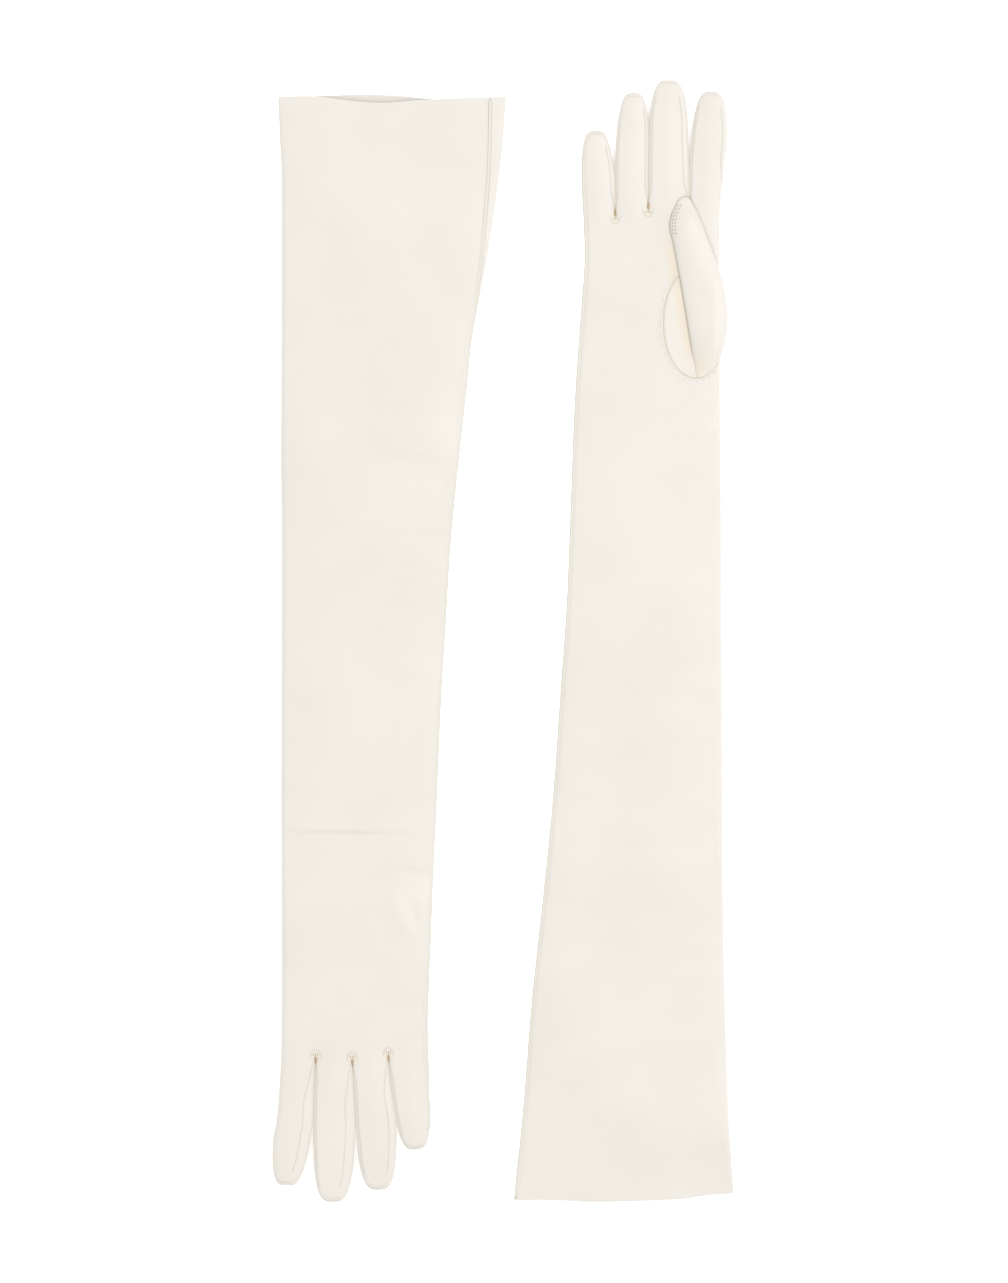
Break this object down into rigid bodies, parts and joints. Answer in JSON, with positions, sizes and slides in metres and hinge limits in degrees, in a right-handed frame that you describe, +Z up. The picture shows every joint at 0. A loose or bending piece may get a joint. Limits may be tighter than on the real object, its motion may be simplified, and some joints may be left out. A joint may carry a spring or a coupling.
{
  "type": "opera gloves",
  "caption": "Pair of long ivory leather opera gloves lying flat, one back up and one palm up, with silk linings, sewn side seams, fourchettes, set-in thumbs and open cuffs.",
  "frame": {"origin": "middle of the pair, on the surface it lies on", "axes": "+Y along the gloves towards the left glove's cuff and the right glove's fingertips, +X from the left glove to the right one, +Z up"},
  "size_m": [0.2766, 0.6716, 0.0172],
  "materials": {
    "ivory_leather": "smooth glove leather with a soft sheen",
    "silk_lining": "fine silk, slightly warmer than the leather"
  },
  "bodies": {
    "left_glove_sleeve": {"left_sleeve": "ivory_leather", "left_sleeve_lining": "silk_lining", "left_cuff_hem": "ivory_leather", "left_sleeve_seam": "ivory_leather"},
    "left_glove_hand": {"left_hand": "ivory_leather", "left_hand_lining": "silk_lining", "left_hand_seam": "ivory_leather", "left_thumb_seam": "ivory_leather", "left_quirks": "ivory_leather"},
    "left_glove_thumb": {"left_thumb": "ivory_leather", "left_thumb_lining": "silk_lining"},
    "left_glove_index": {"left_index_finger": "ivory_leather", "left_index_lining": "silk_lining", "left_index_fourchette": "ivory_leather"},
    "left_glove_middle": {"left_middle_finger": "ivory_leather", "left_middle_lining": "silk_lining", "left_middle_fourchette_inner": "ivory_leather", "left_middle_fourchette_outer": "ivory_leather"},
    "left_glove_ring": {"left_ring_finger": "ivory_leather", "left_ring_lining": "silk_lining", "left_ring_fourchette_inner": "ivory_leather", "left_ring_fourchette_outer": "ivory_leather"},
    "left_glove_little": {"left_little_finger": "ivory_leather", "left_little_lining": "silk_lining", "left_little_fourchette": "ivory_leather", "left_little_seam": "ivory_leather"},
    "right_glove_sleeve": {"right_sleeve": "ivory_leather", "right_sleeve_lining": "silk_lining", "right_cuff_hem": "ivory_leather", "right_sleeve_seam": "ivory_leather"},
    "right_glove_hand": {"right_hand": "ivory_leather", "right_hand_lining": "silk_lining", "right_hand_seam": "ivory_leather", "right_thumb_seam": "ivory_leather", "right_quirks": "ivory_leather"},
    "right_glove_thumb": {"right_thumb": "ivory_leather", "right_thumb_lining": "silk_lining"},
    "right_glove_index": {"right_index_finger": "ivory_leather", "right_index_lining": "silk_lining", "right_index_fourchette": "ivory_leather"},
    "right_glove_middle": {"right_middle_finger": "ivory_leather", "right_middle_lining": "silk_lining", "right_middle_fourchette_inner": "ivory_leather", "right_middle_fourchette_outer": "ivory_leather"},
    "right_glove_ring": {"right_ring_finger": "ivory_leather", "right_ring_lining": "silk_lining", "right_ring_fourchette_inner": "ivory_leather", "right_ring_fourchette_outer": "ivory_leather"},
    "right_glove_little": {"right_little_finger": "ivory_leather", "right_little_lining": "silk_lining", "right_little_fourchette": "ivory_leather", "right_little_seam": "ivory_leather"}
  },
  "joints": [
    {"name": "left_wrist_fold", "type": "hinge", "parent": "left_glove_sleeve", "child": "left_glove_hand", "pos_m": [-0.088, -0.116, 0.009], "axis": [-1, 0, 0], "range_deg": [0, 150]},
    {"name": "left_index_fold", "type": "hinge", "parent": "left_glove_hand", "child": "left_glove_index", "pos_m": [-0.123, -0.27, 0.01725], "axis": [-1, 0, 0], "range_deg": [0, 90]},
    {"name": "left_middle_fold", "type": "hinge", "parent": "left_glove_hand", "child": "left_glove_middle", "pos_m": [-0.1005, -0.27, 0.01725], "axis": [-1, 0, 0], "range_deg": [0, 90]},
    {"name": "left_ring_fold", "type": "hinge", "parent": "left_glove_hand", "child": "left_glove_ring", "pos_m": [-0.078, -0.27, 0.01725], "axis": [-1, 0, 0], "range_deg": [0, 90]},
    {"name": "left_little_fold", "type": "hinge", "parent": "left_glove_hand", "child": "left_glove_little", "pos_m": [-0.056, -0.27, 0.01725], "axis": [-1, 0, 0], "range_deg": [0, 90]},
    {"name": "left_thumb_swing", "type": "hinge", "parent": "left_glove_hand", "child": "left_glove_thumb", "pos_m": [-0.1175, -0.185, 0.0037], "axis": [0, 0, -1], "range_deg": [0, 45]},
    {"name": "right_glove_lift", "type": "slide", "parent": "left_glove_sleeve", "child": "right_glove_sleeve", "axis": [0, 0, 1], "range_m": [0, 0.15]},
    {"name": "right_wrist_fold", "type": "hinge", "parent": "right_glove_sleeve", "child": "right_glove_hand", "pos_m": [0.088, 0.116, 0.009], "axis": [1, 0, 0], "range_deg": [0, 150]},
    {"name": "right_index_fold", "type": "hinge", "parent": "right_glove_hand", "child": "right_glove_index", "pos_m": [0.123, 0.27, 0.009], "axis": [1, 0, 0], "range_deg": [0, 90]},
    {"name": "right_middle_fold", "type": "hinge", "parent": "right_glove_hand", "child": "right_glove_middle", "pos_m": [0.1005, 0.27, 0.009], "axis": [1, 0, 0], "range_deg": [0, 90]},
    {"name": "right_ring_fold", "type": "hinge", "parent": "right_glove_hand", "child": "right_glove_ring", "pos_m": [0.078, 0.27, 0.009], "axis": [1, 0, 0], "range_deg": [0, 90]},
    {"name": "right_little_fold", "type": "hinge", "parent": "right_glove_hand", "child": "right_glove_little", "pos_m": [0.056, 0.27, 0.009], "axis": [1, 0, 0], "range_deg": [0, 90]},
    {"name": "right_thumb_swing", "type": "hinge", "parent": "right_glove_hand", "child": "right_glove_thumb", "pos_m": [0.1175, 0.185, 0.01355], "axis": [0, 0, -1], "range_deg": [0, 45]}
  ]
}
